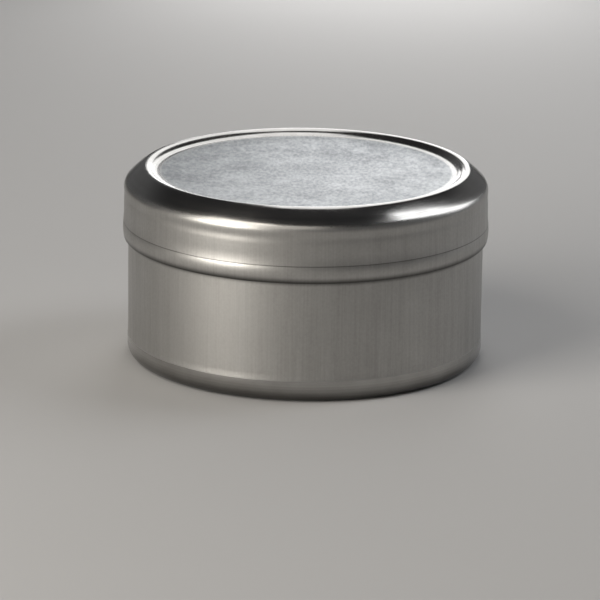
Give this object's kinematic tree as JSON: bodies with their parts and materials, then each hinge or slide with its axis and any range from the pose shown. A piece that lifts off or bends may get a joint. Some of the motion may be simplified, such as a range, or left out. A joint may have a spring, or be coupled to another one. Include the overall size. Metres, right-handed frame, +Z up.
{
  "type": "tin box",
  "caption": "Round shallow metal tin with a slip-on lid: recessed panel inside a raised crown ring, rolled hem and plain drawn wall.",
  "frame": {"origin": "on the surface the tin stands on, under the middle of its base", "axes": "+Z up along the tin's axis, the way the lid lifts; +X and +Y square to it, alike, as the tin is round"},
  "size_m": [0.0684, 0.0684, 0.0362],
  "materials": {
    "drawn_tinplate": "satin, with fine upright drawing streaks",
    "lid_tinplate": "satin, with a finely mottled matt panel and a polished crown ring"
  },
  "bodies": {
    "tin_body": {"tin_body": "drawn_tinplate"},
    "slip_lid": {"slip_lid": "lid_tinplate"}
  },
  "joints": [
    {"name": "lid_lift", "type": "slide", "parent": "tin_body", "child": "slip_lid", "axis": [0, 0, 1], "range_m": [0, 0.03]}
  ]
}
